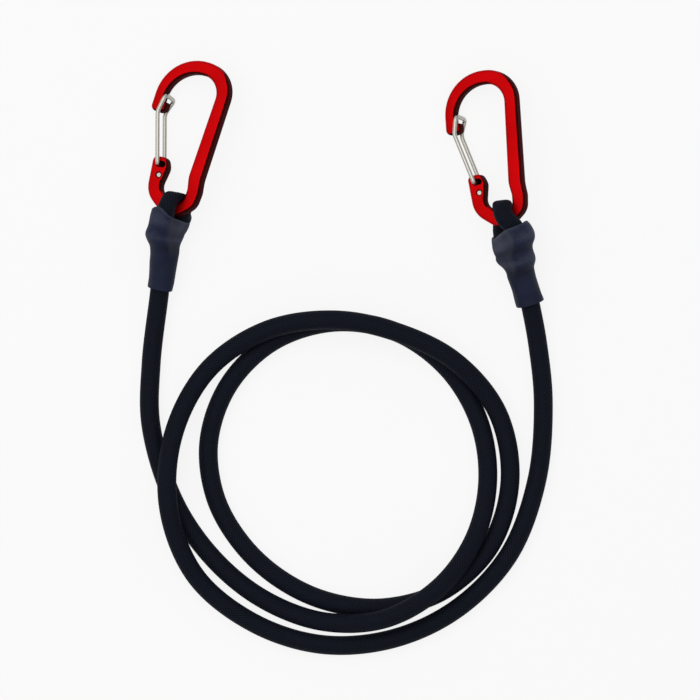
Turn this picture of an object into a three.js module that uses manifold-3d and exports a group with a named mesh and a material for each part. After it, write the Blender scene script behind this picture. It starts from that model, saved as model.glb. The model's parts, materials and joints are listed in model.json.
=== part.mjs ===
// Bungee cord with two wire-gate carabiners, lying on a table in two loose loops.
// Millimetres, +Z up, the table at z = 0, the origin midway between the two metal ends.
import * as THREE from 'three';
import { mergeVertices } from 'three/addons/utils/BufferGeometryUtils.js';
import Module from 'manifold-3d';

const wasm = await Module();
wasm.setup();

// Cord
const cordDiameter = 8.6;
const eyeDiameter = 6.8;
const sheathWall = 1;
const strandGap = 0.3;
const layerGap = 0.3;
const sheathSides = 10;
const liningSides = 6;
const stationSpacing = 17;

// Carabiner body, one flat bar bent in its own plane: u towards the spine, v towards the top bow
const bodyTop = 72.4;
const bodyWidth = 34.8;
const bodyThickness = 6;
const edgeRounding = 1.2;
const cutAllowance = 1;
const spineOuter = 8.1;
const spineWidth = 5.8;
const topBowWidth = 6.1;
const topOuterRadius = 19.6;
const topShoulderRadius = 14;
const bowFilling = 1;
const noseWidth = 4.7;
const noseDrop = 27.7;
const noseOuterRadius = 2.4;

// Hook on the nose, inside the wire's loop
const hookReach = 2.4;
const hookTipRise = 1.2;
const hookRadius = 1.3;
const hookNeckRadius = 0.6;

// Hip, where the spine swells before it turns into its arm
const hipTop = 20.5;
const hipMiddle = 15;
const hipFoot = 8;
const hipSwell = 0.9;
const hipFootSwell = 0.5;
const hipHollow = 0.8;
const hipTopRadius = 12;
const hipRadius = 6;
const hipFootRadius = 7.5;

// Heel, where the two arms meet in a rounded V
const heelInset = 9.9;
const heelDepth = 1.2;
const heelCrown = 1.9;
const heelOuterRadius = 9.5;
const heelInnerRadius = 5;
const armWidth = 5.4;
const spineArmRise = 3.9;
const spineArmRadius = 4;
const gateArmRise = 5.7;
const gateArmRadius = 5;

// Lug that carries the feet of the gate
const lugInset = 8.7;
const lugTop = 26;
const lugWidth = 8.4;
const lugTopDrop = 0.6;
const lugTopSlope = 2;
const lugTopRadius = 2.3;
const lugFootInset = 2.2;
const lugFootRise = 9.5;
const lugFootRadius = 11;
const lugFrontSwell = 0.2;
const lugFrontDrop = 4.5;
const lugFrontRadius = 4;
const lugWaist = 0.8;
const lugWaistRise = 2.6;
const lugWaistRadius = 6;

// Wire gate, its two feet in staggered holes of the lug
const wireDiameter = 1.9;
const gateGap = 0.35;
const holeClearance = 0.3;
const footInset = 0.4;
const footEdge = 5.5;
const footDrop = 8.5;
const footStagger = 5;
const footBend = 1.2;
const kneeBend = 6;
const noseBend = 2.2;
const loopSkew = 1.1;
const loopDrop = 1.2;
const gateRoom = 13.3;
const gateTravel = THREE.MathUtils.degToRad(22);

// Join of cord and carabiner
const sleeveWall = 1.1;
const sleeveGap = 0.35;
const bandThickness = 0.7;
const bandGap = 0.3;
const bandLength = 4;
const bandRoom = 0.55;
const bandSetback = 1.6;
const tailCover = 6;
const sleeveSides = 24;
const tableGap = 0.8;
const sleeveSteps = 18;
const sectionSpacing = 0.5;
const kinkReach = 2;
const neckStart = 9;
const neckEnd = 18;

// How each end lies: the carabiner's place and turn, and where the two legs of its eye run.
// leans is the turn on the table, tips raises the spine, dips lowers the top bow.
const tips = THREE.MathUtils.degToRad(22);
const ends = {
  left: {
    place: [-76.6, -16.3],
    leans: THREE.MathUtils.degToRad(18),
    dips: THREE.MathUtils.degToRad(1.8),
    nearShift: -1.4,
    farShift: -0.6,
    eyeSlack: 1.05,
    upperLip: 0.6,
    lowerLip: 1.2,
    mouthDip: 3,
    standing: [[-82.8, -46.8], [-82.1, -36], [-82.8, -26], [-81, -18]],
    tail: [[-75, -18.3], [-77.8, -24.2]],
  },
  right: {
    place: [74.4, -20.4],
    leans: THREE.MathUtils.degToRad(-3.7),
    dips: THREE.MathUtils.degToRad(4),
    nearShift: 0.8,
    farShift: -6,
    eyeSlack: 1.95,
    upperLip: 4.5,
    lowerLip: 6.5,
    mouthDip: 0.6,
    standing: [[83.7, -53.4], [81.5, -44], [80.4, -35], [79, -26.8], [76.6, -20.4]],
    tail: [[71.2, -20.8], [72.2, -26.3], [74, -32.3]],
  },
};

// Free run from the left sleeve to the right one: x, y and how many cords deep it lies under this point
const route = [
  [-86.8, -80.5, 0], [-86.8, -109, 0], [-75.8, -144, 0], [-57.3, -170, 0], [-34.8, -187.5, 0],
  [-8.8, -196.7, 0.28], [18.7, -195, 1], [42.7, -181, 1.1], [58.7, -159, 0.52], [64.7, -133, 0],
  [60.7, -106.5, 0], [46.7, -83, 0], [23.7, -66.5, 0], [-4.3, -62, 0], [-31.8, -70.5, 0],
  [-51.8, -90, 0], [-60.8, -115.5, 0], [-57.8, -141, 0], [-45.8, -162, 0], [-28.8, -177.5, 0],
  [-7.8, -187.5, 0], [17.7, -190.5, 0], [44.2, -183, 0], [65.8, -162.7, 0], [74.7, -133.5, 0],
  [69.2, -103, 0.25], [49.7, -79.5, 0.98], [23.7, -66.5, 1.04], [-4.3, -61, 1.04], [-34.3, -65.5, 0.8],
  [-60.8, -83, 0.3], [-76.3, -111.5, 0.8], [-78.8, -144.5, 1.12], [-66.8, -176, 0.35], [-41.3, -197, 0],
  [-10.3, -207, 0], [21.7, -204.5, 0], [50.7, -191, 0], [74.1, -166.8, 0], [86.7, -133.5, 0],
  [89.7, -98.5, 0], [87.2, -72, 0],
];

const cordRadius = cordDiameter / 2;
const eyeRadius = eyeDiameter / 2;
const wireRadius = wireDiameter / 2;
const sleeveRadius = cordRadius + sleeveGap + sleeveWall;
const bandSleeveRadius = sleeveRadius + bandRoom + bandThickness;

// Finishes
const redAnodised = new THREE.MeshStandardMaterial({ color: 0xb80606, roughness: 0.4, metalness: 0.6 });
const steelWire = new THREE.MeshStandardMaterial({ color: 0xb9b8ae, roughness: 0.25, metalness: 1 });
const bandSteel = new THREE.MeshStandardMaterial({ color: 0x9a9a9a, roughness: 0.4, metalness: 1 });
const blackBraid = new THREE.MeshStandardMaterial({ color: 0x0d0f14, roughness: 0.9, metalness: 0 });
const darkShrink = new THREE.MeshStandardMaterial({ color: 0x23252f, roughness: 0.6, metalness: 0 });
const latex = new THREE.MeshStandardMaterial({ color: 0xd8cfb4, roughness: 0.8, metalness: 0 });

const bungee = new THREE.Group();

function addPiece(parent, name, geometry, material) {
  const mesh = new THREE.Mesh(geometry, material);
  mesh.name = name;
  parent.add(mesh);
  return mesh;
}

// Closed surface with shared vertices, as the boolean library needs it
function toSolid(geometry) {
  const bare = geometry.clone();
  bare.deleteAttribute('normal');
  bare.deleteAttribute('uv');
  const merged = mergeVertices(bare, 1e-4);
  return new wasm.Manifold(new wasm.Mesh({
    numProp: 3,
    vertProperties: new Float32Array(merged.attributes.position.array),
    triVerts: new Uint32Array(merged.index.array),
  }));
}

function toGeometry(solid) {
  const mesh = solid.getMesh();
  const geometry = new THREE.BufferGeometry();
  geometry.setAttribute('position', new THREE.BufferAttribute(mesh.vertProperties, 3));
  geometry.setIndex(new THREE.BufferAttribute(mesh.triVerts, 1));
  geometry.computeVertexNormals();
  return geometry;
}

// Path that visits exactly the stations it is given
class StationPath extends THREE.Curve {
  constructor(stations) {
    super();
    this.stations = stations;
  }

  getUtoTmapping(share) {
    return share;
  }

  getPoint(share, target = new THREE.Vector3()) {
    const last = this.stations.length - 1;
    const place = share * last;
    const index = Math.min(Math.floor(place), last - 1);
    return target.lerpVectors(this.stations[index], this.stations[index + 1], place - index);
  }
}

function sweep(section, stations) {
  return new THREE.ExtrudeGeometry(section, {
    steps: stations.length - 1,
    extrudePath: new StationPath(stations),
    curveSegments: 1,
  });
}

function ring(radius, sides) {
  const points = [];
  for (let side = 0; side < sides; side += 1) {
    const angle = (2 * Math.PI * side) / sides;
    points.push(new THREE.Vector2(radius * Math.cos(angle), radius * Math.sin(angle)));
  }
  return points;
}

// Closed outline through corners [u, v, radius], each rounded by an arc that fits between its neighbours
function roundedOutline(corners) {
  const count = corners.length;
  const points = corners.map(([u, v]) => new THREE.Vector2(u, v));
  const edges = points.map((point, index) => points[(index + 1) % count].clone().sub(point));
  const turns = edges.map((leaving, index) => {
    const arriving = edges[(index + count - 1) % count];
    return Math.atan2(arriving.cross(leaving), arriving.dot(leaving));
  });
  const setbacks = corners.map(([, , radius], index) => radius * Math.tan(Math.abs(turns[index]) / 2));
  const rooms = edges.map((edge, index) => edge.length() / (setbacks[index] + setbacks[(index + 1) % count]));
  const shape = new THREE.Shape();
  points.forEach((corner, index) => {
    const before = (index + count - 1) % count;
    const fit = Math.min(1, rooms[before], rooms[index]);
    const radius = corners[index][2] * fit;
    const arriving = edges[before].clone().normalize();
    const start = corner.clone().addScaledVector(arriving, -setbacks[index] * fit);
    const across = new THREE.Vector2(-arriving.y, arriving.x).multiplyScalar(Math.sign(turns[index]) * radius);
    const centre = start.clone().add(across);
    const from = Math.atan2(start.y - centre.y, start.x - centre.x);
    shape.absarc(centre.x, centre.y, radius, from, from + turns[index], turns[index] < 0);
  });
  shape.closePath();
  return shape;
}

// Carabiner body
const leftOuter = spineOuter - bodyWidth;
const noseInner = leftOuter + noseWidth;
const noseTip = bodyTop - noseDrop;
const spineInner = spineOuter - spineWidth;
const innerTop = bodyTop - topBowWidth;
const bowInset = topBowWidth - bowFilling;
const lugLeft = leftOuter + lugInset;
const lugRight = lugLeft + lugWidth;
const heel = new THREE.Vector2(spineOuter - heelInset, -heelDepth);
const gateArmSlope = gateArmRise / (heel.x - lugRight);
const spineArmSlope = (hipFoot - heel.y) / (spineOuter + hipFootSwell - heel.x);
const armTurn = (Math.atan(gateArmSlope) + Math.atan(spineArmSlope)) / 2;
const heelRise = armWidth / Math.cos(armTurn);
const heelTop = heel.y + heelRise;
const gateArmTop = heelTop + gateArmRise;
const lowerHole = new THREE.Vector2(lugLeft + footEdge, lugTop - footDrop);
const gateLean = Math.atan((lowerHole.x - noseInner) / (noseTip - lowerHole.y));
const upperHole = new THREE.Vector2(-Math.sin(gateLean), Math.cos(gateLean))
  .multiplyScalar(footStagger).add(lowerHole);
const loopTop = new THREE.Vector2(noseInner + gateGap + wireRadius, innerTop - gateRoom);
const loopBack = new THREE.Vector2(loopTop.x + loopSkew, loopTop.y - loopDrop);

// Height the hook may reach without touching the loop that swings past it
function hookTop() {
  const room = loopBack.distanceTo(lowerHole) - wireRadius - gateGap;
  return lowerHole.y + Math.sqrt(room ** 2 - (lowerHole.x - noseInner) ** 2);
}

function bodyOutline() {
  return roundedOutline([
    [noseInner, hookTop(), hookNeckRadius],
    [noseInner + hookReach, hookTop(), hookRadius],
    [noseInner + hookReach, noseTip + hookTipRise, hookRadius],
    [noseInner, noseTip, noseOuterRadius],
    [leftOuter, noseTip, noseOuterRadius],
    [leftOuter, bodyTop, topOuterRadius],
    [spineOuter, bodyTop, topShoulderRadius],
    [spineOuter, hipTop, hipTopRadius],
    [spineOuter + hipSwell, hipMiddle, hipRadius],
    [spineOuter + hipFootSwell, hipFoot, hipFootRadius],
    [heel.x, heel.y, heelOuterRadius],
    [lugLeft + lugFootInset, heel.y + lugFootRise, lugFootRadius],
    [lugLeft, lugTop - lugTopDrop, lugTopRadius],
    [lugRight - lugTopSlope, lugTop, lugTopRadius],
    [lugRight + lugFrontSwell, lugTop - lugFrontDrop, lugFrontRadius],
    [lugRight - lugWaist, gateArmTop + lugWaistRise, lugWaistRadius],
    [lugRight, gateArmTop, gateArmRadius],
    [heel.x, heelTop, heelInnerRadius],
    [spineInner + hipFootSwell, heelTop + spineArmRise, spineArmRadius],
    [spineInner + hipFootSwell, hipMiddle, hipRadius],
    [spineInner - hipHollow, hipTop, hipTopRadius],
    [spineInner, innerTop, topShoulderRadius - bowInset],
    [noseInner, innerTop, topOuterRadius - bowInset],
  ]);
}

// Slot that lets the upper foot travel about the lower hole as the gate opens
function footSlot(radius) {
  const reach = footStagger;
  const closed = Math.PI / 2 + gateLean;
  const open = closed - gateTravel;
  const shape = new THREE.Shape();
  shape.absarc(lowerHole.x, lowerHole.y, reach + radius, open, closed, false);
  shape.absarc(upperHole.x, upperHole.y, radius, closed, closed + Math.PI, false);
  shape.absarc(lowerHole.x, lowerHole.y, reach - radius, closed, open, true);
  const end = new THREE.Vector2(Math.cos(open), Math.sin(open)).multiplyScalar(reach).add(lowerHole);
  shape.absarc(end.x, end.y, radius, open + Math.PI, open + 2 * Math.PI, false);
  shape.closePath();
  return shape;
}

function throughCut(shape) {
  const depth = bodyThickness + 2 * cutAllowance;
  const cut = new THREE.ExtrudeGeometry(shape, { depth, bevelEnabled: false, curveSegments: 6 });
  return toSolid(cut.translate(0, 0, -depth / 2));
}

function carabinerBody() {
  const plate = new THREE.ExtrudeGeometry(bodyOutline(), {
    depth: bodyThickness - 2 * edgeRounding,
    bevelThickness: edgeRounding,
    bevelSize: edgeRounding,
    bevelOffset: -edgeRounding,
    bevelSegments: 2,
    curveSegments: 3,
  });
  plate.translate(0, 0, edgeRounding - bodyThickness / 2);
  const holeRadius = wireRadius + holeClearance;
  const hole = new THREE.Shape().absarc(lowerHole.x, lowerHole.y, holeRadius, 0, 2 * Math.PI, false);
  const solid = toSolid(plate).subtract(throughCut(hole)).subtract(throughCut(footSlot(holeRadius)));
  return toGeometry(solid);
}

// Stations along a polyline whose inner corners [point, radius] are rounded
function bentStations(corners, arcSteps) {
  const stations = [corners[0].point];
  for (let index = 1; index < corners.length - 1; index += 1) {
    const { point, radius } = corners[index];
    const back = corners[index - 1].point.clone().sub(point).normalize();
    const ahead = corners[index + 1].point.clone().sub(point).normalize();
    const setback = radius / Math.tan(back.angleTo(ahead) / 2);
    const bend = new THREE.QuadraticBezierCurve3(
      point.clone().addScaledVector(back, setback),
      point,
      point.clone().addScaledVector(ahead, setback),
    );
    stations.push(...bend.getPoints(arcSteps));
  }
  stations.push(corners[corners.length - 1].point);
  return stations;
}

function wireGate() {
  const legLevel = bodyThickness / 2 + gateGap + wireRadius;
  const footLevel = bodyThickness / 2 - footInset;
  const knee = new THREE.Vector2(noseInner, noseTip);
  const at = (flat, level, radius) => ({ point: new THREE.Vector3(flat.x, flat.y, level), radius });
  const corners = [
    at(lowerHole, footLevel, 0),
    at(lowerHole, -legLevel, footBend),
    at(knee, -legLevel, kneeBend),
    at(loopBack, -legLevel, noseBend),
    at(loopTop, legLevel, noseBend),
    at(knee, legLevel, kneeBend),
    at(upperHole, legLevel, footBend),
    at(upperHole, -footLevel, 0),
  ];
  return sweep(new THREE.Shape(ring(wireRadius, 8)), bentStations(corners, 4));
}

// Carabiners, each lowered until the gate side touches the table
function placeCarabiner(side) {
  const { place, leans, dips } = ends[side];
  const group = new THREE.Group();
  group.rotation.set(-dips, -tips, -leans, 'ZXY');
  group.position.set(place[0], place[1], 0);
  addPiece(group, `${side}_carabiner_body`, carabinerBody(), redAnodised);
  addPiece(group, `${side}_wire_gate`, wireGate(), steelWire);
  group.updateMatrixWorld(true);
  group.position.z = -new THREE.Box3().setFromObject(group, true).min.z;
  group.updateMatrixWorld(true);
  bungee.add(group);
  return group;
}

// Middle of the bar at the heel, where the two arms meet in a rounded V
function heelMiddle(u) {
  const slope = u > heel.x ? spineArmSlope : gateArmSlope;
  return heel.y + heelRise / 2 + Math.hypot(slope * (u - heel.x), heelCrown);
}

// Eye around the heel of the carabiner, from the leg above the bar to the leg below it
function eyePoints(side, group) {
  const { nearShift, farShift, eyeSlack } = ends[side];
  const clearance = eyeSlack + eyeRadius;
  const reachAlong = heelRise / 2 + clearance;
  const reachAcross = bodyThickness / 2 + clearance;
  const points = [];
  const arcSteps = 8;
  for (let step = 0; step <= arcSteps; step += 1) {
    const share = step / arcSteps;
    const angle = Math.PI / 2 - share * Math.PI;
    const shift = THREE.MathUtils.lerp(nearShift, farShift, share);
    const reach = heelMiddle(shift) + reachAlong * Math.cos(angle);
    points.push(new THREE.Vector3(shift, reach, reachAcross * Math.sin(angle)));
  }
  return points.map((point) => group.localToWorld(point));
}

// Legs that lead from the eye down into the sleeve, easing from the eye's height to their rest
function legPoints(flat, from, restHeight) {
  const reach = flat.map(([x, y]) => Math.hypot(x - from.x, y - from.y));
  const furthest = Math.max(...reach);
  return flat.map(([x, y], index) => {
    const ease = THREE.MathUtils.smoothstep(reach[index] / furthest, 0, 1);
    const height = THREE.MathUtils.lerp(from.z, restHeight, ease);
    return new THREE.Vector3(x, y, height);
  });
}

// Point of a leg at a distance along the sleeve's axis
function legAt(leg, frame, distance) {
  const along = leg.map((point) => point.clone().sub(frame.start).dot(frame.axis));
  let index = along.findIndex((reach) => reach > distance) - 1;
  if (index < -1) index = leg.length - 2;
  index = Math.max(index, 0);
  const share = (distance - along[index]) / (along[index + 1] - along[index]);
  return leg[index].clone().lerp(leg[index + 1], share);
}

// Direction of a leg at a distance along the sleeve's axis
function legDirection(leg, frame, distance) {
  return legAt(leg, frame, distance + kinkReach).sub(legAt(leg, frame, distance - kinkReach)).normalize();
}

// Stretches a section's radius so that it stays clear of a leg that runs askew to the axis
function stretchAlong(outward, direction, axis) {
  const cosine = direction.dot(axis);
  const lean = direction.clone().addScaledVector(axis, -cosine);
  if (lean.lengthSq() < 1e-9) return outward;
  lean.normalize();
  return outward.addScaledVector(lean, outward.dot(lean) * (1 / cosine - 1));
}

// Ring-shaped lathe drawn out over the two legs: each half of a section is centred on its own leg
function drapeOverLegs(geometry, frame) {
  const position = geometry.attributes.position;
  const vertex = new THREE.Vector3();
  for (let index = 0; index < position.count; index += 1) {
    vertex.fromBufferAttribute(position, index);
    const slant = THREE.MathUtils.smoothstep(vertex.y, frame.slantStart, 1);
    const flank = vertex.z ** 2 / (vertex.x ** 2 + vertex.z ** 2);
    const distance = vertex.y * frame.lowerReach - slant * flank * frame.mouthDip;
    const upperDistance = distance + slant * (frame.upperReach - frame.lowerReach);
    const split = Math.max(distance, frame.tailStart);
    const apart = legAt(frame.tail, frame, split).sub(legAt(frame.standing, frame, split));
    const sideways = apart.clone().normalize();
    const upright = sideways.clone().cross(frame.axis);
    const cover = THREE.MathUtils.smoothstep(
      distance,
      frame.tailStart - tailCover,
      frame.tailStart - sleeveGap,
    );
    const outward = sideways.multiplyScalar(vertex.x).addScaledVector(upright, vertex.z);
    if (vertex.x > 0) {
      stretchAlong(outward, legDirection(frame.tail, frame, split), frame.axis);
      vertex.copy(legAt(frame.standing, frame, distance)).addScaledVector(apart, cover).add(outward);
    } else {
      stretchAlong(outward, legDirection(frame.standing, frame, upperDistance), frame.axis);
      vertex.copy(legAt(frame.standing, frame, upperDistance)).add(outward);
    }
    position.setXYZ(index, vertex.x, vertex.y, vertex.z);
  }
  return geometry;
}

// Lathe profile of a wall between two radii, through the given shares of the sleeve's length
function wallProfile(shares, innerRadius, wall) {
  const outer = shares.map((share) => new THREE.Vector2(innerRadius(share) + wall, share));
  const inner = shares.map((share) => new THREE.Vector2(innerRadius(share), share)).reverse();
  return [...outer, ...inner, outer[0].clone()];
}

function joinFrame(standing, tail, near, far, { upperLip, lowerLip, mouthDip }) {
  const start = standing[0];
  const axis = near.clone().add(far).multiplyScalar(0.5).sub(start).normalize();
  const reach = (point) => point.clone().sub(start).dot(axis);
  const lowerReach = reach(far) - lowerLip;
  return {
    start,
    axis,
    standing: [...standing, near],
    tail: [...tail, far],
    tailStart: reach(tail[0]),
    upperReach: reach(near) - upperLip,
    lowerReach,
    mouthDip,
    slantStart: (reach(tail[0]) + bandSetback + bandLength) / lowerReach,
  };
}

function addJoin(side, frame) {
  const share = (distance) => distance / frame.lowerReach;
  const bandStart = share(frame.tailStart + bandSetback);
  const bandEnd = bandStart + share(bandLength);
  const ramp = share(bandSetback);
  const swell = (place) => (
    THREE.MathUtils.smoothstep(place, bandStart - ramp, bandStart)
    * (1 - THREE.MathUtils.smoothstep(place, bandEnd, bandEnd + ramp))
  );
  const even = Array.from({ length: sleeveSteps + 1 }, (_, step) => step / sleeveSteps);
  const clear = even.filter((place) => (
    Math.min(Math.abs(place - bandStart), Math.abs(place - bandEnd)) > share(sectionSpacing)
  ));
  const shares = [...clear, bandStart, bandEnd].sort((first, second) => first - second);
  const bandShares = shares.filter((place) => place >= bandStart && place <= bandEnd);
  const sleeveInner = (place) => cordRadius + sleeveGap + swell(place) * (bandThickness + bandRoom);
  const bandInner = () => cordRadius + bandGap;
  const halfSide = Math.PI / sleeveSides;
  const sleeveWalls = wallProfile(shares, sleeveInner, sleeveWall);
  const sleeve = new THREE.LatheGeometry(sleeveWalls, sleeveSides, halfSide);
  addPiece(bungee, `${side}_sleeve`, drapeOverLegs(sleeve, frame), darkShrink);
  const bandWalls = wallProfile(bandShares, bandInner, bandThickness);
  const band = new THREE.LatheGeometry(bandWalls, sleeveSides, halfSide);
  addPiece(bungee, `${side}_crimp_band`, drapeOverLegs(band, frame), bandSteel);
}

function layEnd(side) {
  const group = placeCarabiner(side);
  const eye = eyePoints(side, group);
  const near = eye[0];
  const far = eye[eye.length - 1];
  const standing = legPoints(ends[side].standing, near, sleeveRadius + tableGap);
  const tail = legPoints(ends[side].tail, far, bandSleeveRadius + tableGap).reverse();
  addJoin(side, joinFrame(standing, tail, near, far, ends[side]));
  return { eye, standing, tail };
}

const left = layEnd('left');
const right = layEnd('right');

// Cord from tail to tail, as one smooth line
const runPoints = route.map(([x, y, depth]) => (
  new THREE.Vector3(x, y, cordRadius + depth * (cordDiameter + layerGap))
));
const leftToRun = [...left.tail, ...left.eye.reverse(), ...left.standing.reverse()];
const runToRight = [...right.standing, ...right.eye, ...right.tail.reverse()];
const cordPoints = [...leftToRun, ...runPoints, ...runToRight];
const cordLine = new THREE.CatmullRomCurve3(cordPoints, false, 'centripetal');

function cordStations() {
  const spans = cordPoints.length - 1;
  const stations = [cordPoints[0]];
  for (let span = 0; span < spans; span += 1) {
    const length = cordPoints[span].distanceTo(cordPoints[span + 1]);
    const steps = Math.max(1, Math.round(length / stationSpacing));
    for (let step = 1; step <= steps; step += 1) {
      const station = cordLine.getPoint((span + step / steps) / spans);
      station.z = Math.max(station.z, cordRadius);
      stations.push(station);
    }
  }
  return stations;
}

// Share of the full girth at each station: the cord is drawn thin where it bends around a heel
const stations = cordStations();
const heels = [left, right].map(({ eye }) => eye[0].clone().lerp(eye[eye.length - 1], 0.5));
const girths = stations.map((station) => {
  const away = Math.min(...heels.map((middle) => middle.distanceTo(station)));
  const fullness = THREE.MathUtils.smoothstep(away, neckStart, neckEnd);
  return THREE.MathUtils.lerp(eyeDiameter / cordDiameter, 1, fullness);
});

function cordSweep(section) {
  const geometry = sweep(section, stations);
  const position = geometry.attributes.position;
  const vertex = new THREE.Vector3();
  for (let index = 0; index < position.count; index += 1) {
    vertex.fromBufferAttribute(position, index);
    const gaps = stations.map((station) => station.distanceToSquared(vertex));
    const nearest = gaps.indexOf(Math.min(...gaps));
    vertex.lerp(stations[nearest], 1 - girths[nearest]);
    position.setXYZ(index, vertex.x, vertex.y, vertex.z);
  }
  return geometry;
}

const liningRadius = cordRadius - sheathWall;
const sheathSection = new THREE.Shape(ring(cordRadius, sheathSides));
sheathSection.holes.push(new THREE.Path(ring(liningRadius, liningSides)));
addPiece(bungee, 'braided_sheath', cordSweep(sheathSection), blackBraid);

// Core of square-cut strands, two by two
const coreReach = liningRadius * Math.cos(Math.PI / liningSides) - strandGap;
const strandSide = coreReach / Math.SQRT2 - strandGap / 2;
let strandNumber = 0;
for (const across of [-1, 1]) {
  for (const up of [-1, 1]) {
    const near = strandGap / 2;
    const reach = near + strandSide;
    const section = new THREE.Shape([
      new THREE.Vector2(across * near, up * near),
      new THREE.Vector2(across * reach, up * near),
      new THREE.Vector2(across * reach, up * reach),
      new THREE.Vector2(across * near, up * reach),
    ]);
    strandNumber += 1;
    addPiece(bungee, `core_strand_${strandNumber}`, cordSweep(section), latex);
  }
}

export default bungee;
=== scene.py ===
import json
import math

import bmesh
import bpy
from mathutils import Matrix, Vector, noise
from mathutils.bvhtree import BVHTree
from mathutils.geometry import tessellate_polygon


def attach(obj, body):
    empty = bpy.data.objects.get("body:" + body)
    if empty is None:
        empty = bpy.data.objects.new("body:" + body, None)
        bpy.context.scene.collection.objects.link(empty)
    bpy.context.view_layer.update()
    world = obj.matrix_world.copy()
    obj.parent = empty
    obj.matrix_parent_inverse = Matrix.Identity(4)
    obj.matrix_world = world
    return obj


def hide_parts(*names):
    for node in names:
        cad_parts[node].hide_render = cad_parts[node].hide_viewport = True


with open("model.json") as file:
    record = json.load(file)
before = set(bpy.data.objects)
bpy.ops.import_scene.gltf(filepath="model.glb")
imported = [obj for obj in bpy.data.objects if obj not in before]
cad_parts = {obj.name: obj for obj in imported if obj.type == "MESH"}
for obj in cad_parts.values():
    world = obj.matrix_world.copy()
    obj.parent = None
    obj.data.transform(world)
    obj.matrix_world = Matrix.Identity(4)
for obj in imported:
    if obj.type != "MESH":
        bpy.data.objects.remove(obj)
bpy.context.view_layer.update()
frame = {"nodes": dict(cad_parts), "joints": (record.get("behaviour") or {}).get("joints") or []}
mm = 0.001
print("frame loaded:", len(frame["nodes"]), "nodes")

# camera, straight above the table as in the photograph
cameraView = {"aim": (2.7, -74.5), "height": 3000.0, "width": 315.0, "level": 5.0, "sensor": 36.0}
cameraData = bpy.data.cameras.new("tableCamera")
cameraData.sensor_width = cameraView["sensor"]
cameraData.lens = cameraView["sensor"] * (cameraView["height"] - cameraView["level"]) / cameraView["width"]
tableCamera = bpy.data.objects.new("tableCamera", cameraData)
tableCamera.location = (cameraView["aim"][0] * mm, cameraView["aim"][1] * mm, cameraView["height"] * mm)
bpy.context.scene.collection.objects.link(tableCamera)
bpy.context.scene.camera = tableCamera
print("camera set")

# how the two ends lie, in mm: place and turn of each carabiner, and the legs of each eye of the cord
ends = {
    "left": {
        "place": (-76.6, -16.3, 14.45), "leans": 18.0, "dips": 1.8, "tips": 22.0,
        "near": -1.4, "far": -0.6, "slack": 1.05, "upperLip": -0.6, "lowerLip": -0.1,
        "standing": [(-82.8, -46.8), (-82, -36), (-82.3, -26), (-81.3, -18)],
        "tail": [(-75, -18.3), (-77.8, -24.2)],
    },
    "right": {
        "place": (74.4, -20.4, 16.179), "leans": -3.7, "dips": 4.0, "tips": 22.0,
        "near": 0.8, "far": -6.0, "slack": 1.95, "upperLip": 4.5, "lowerLip": 6.5,
        "standing": [(83.7, -53.4), (81.5, -44), (80.4, -35), (79, -26.8), (76.6, -20.4)],
        "tail": [(71.2, -20.8), (72.2, -26.3), (74, -32.3)],
    },
}

# the cord: stock sizes, and the free run as x, y and how many cords deep it lies under the point
cord = {
    "diameter": 8.6, "eyeDiameter": 6.8, "neckStart": 9.0, "neckEnd": 18.0, "layerGap": 0.3, "sides": 32,
    "ringStep": 1.6, "eyeSteps": 8, "intoSleeve": 12.0, "sleeveGap": 0.35, "sleeveWall": 1.1,
    "bandRoom": 0.55, "bandThickness": 0.7, "tableGap": 0.8,
    "route": [
        (-86.8, -80.5, 0), (-86.8, -109, 0), (-75.8, -144, 0), (-57.3, -170, 0), (-34.8, -187.5, 0),
        (-8.8, -196.7, 0.28), (18.7, -195, 1), (42.7, -181, 1.1), (58.7, -159, 0.52), (64.7, -133, 0),
        (60.7, -106.5, 0), (46.7, -83, 0), (23.7, -66.5, 0), (-4.3, -62, 0), (-31.8, -70.5, 0),
        (-51.8, -90, 0), (-60.8, -115.5, 0), (-57.8, -141, 0), (-45.8, -162, 0), (-28.8, -177.5, 0),
        (-7.8, -187.5, 0), (17.7, -190.5, 0), (44.2, -183, 0), (65.8, -162.7, 0), (74.7, -133.5, 0),
        (69.2, -103, 0.25), (49.7, -79.5, 0.98), (23.7, -66.5, 1.04), (-4.3, -61, 1.04),
        (-34.3, -65.5, 0.8), (-60.8, -83, 0.3), (-76.3, -111.5, 0.8), (-78.8, -144.5, 1.12),
        (-66.8, -176, 0.35), (-41.3, -197, 0), (-10.3, -207, 0), (21.7, -204.5, 0), (50.7, -191, 0),
        (74.1, -166.8, 0), (86.7, -133.5, 0), (89.7, -98.5, 0), (87.2, -72, 0),
    ],
}
cordRadius = cord["diameter"] / 2
eyeRadius = cord["eyeDiameter"] / 2
sleeveRadius = cordRadius + cord["sleeveGap"] + cord["sleeveWall"]

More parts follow.
